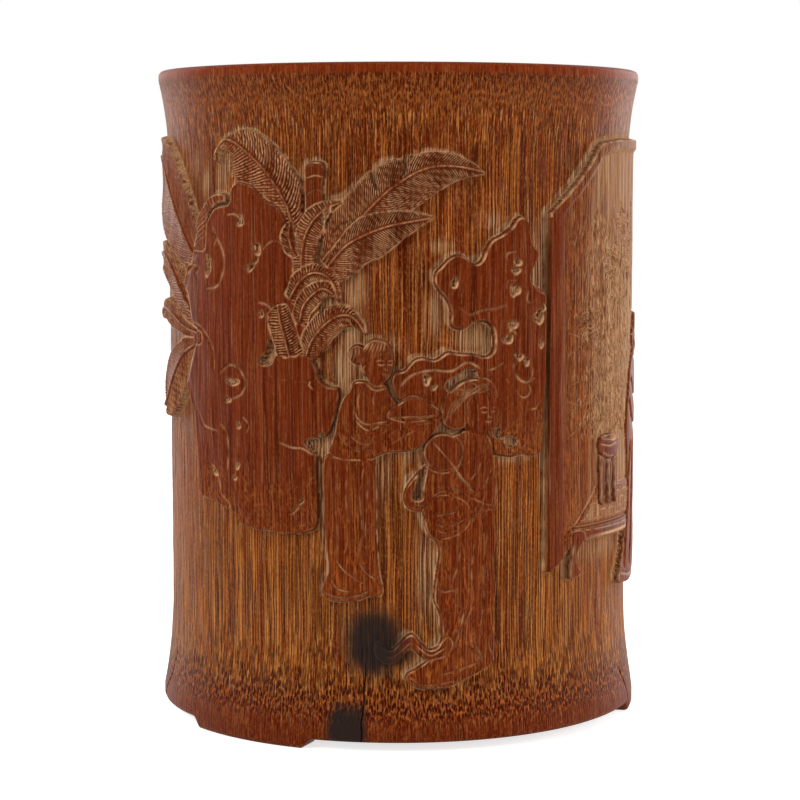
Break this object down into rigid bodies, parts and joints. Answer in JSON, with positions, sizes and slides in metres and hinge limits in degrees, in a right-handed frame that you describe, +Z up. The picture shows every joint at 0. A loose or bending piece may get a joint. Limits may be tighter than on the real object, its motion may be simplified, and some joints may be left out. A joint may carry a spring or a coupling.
{
  "type": "brush pot",
  "caption": "Bamboo brush pot: a flared upright tube on three low bracket feet, carved in relief with garden rock, leaves, figures and a screen, closed by a pegged floor disc",
  "frame": {"origin": "centre of the pot, on the plane that the feet stand on", "axes": "+Z up, -Y the picture's middle, +X to the right of someone who looks at the picture"},
  "size_m": [0.115, 0.115, 0.1528],
  "materials": {
    "culm_wood": "old polished bamboo, waxed, red-brown",
    "floor_wood": "plain turned wood, dull",
    "peg_wood": "split bamboo, dull",
    "lacquer": "dark lacquer, half gloss"
  },
  "bodies": {
    "root": {"culm": "culm_wood", "floor_disc": "floor_wood", "lacquer_bead": "lacquer", "floor_peg_1": "peg_wood", "floor_peg_2": "peg_wood", "floor_peg_3": "peg_wood"}
  },
  "joints": []
}
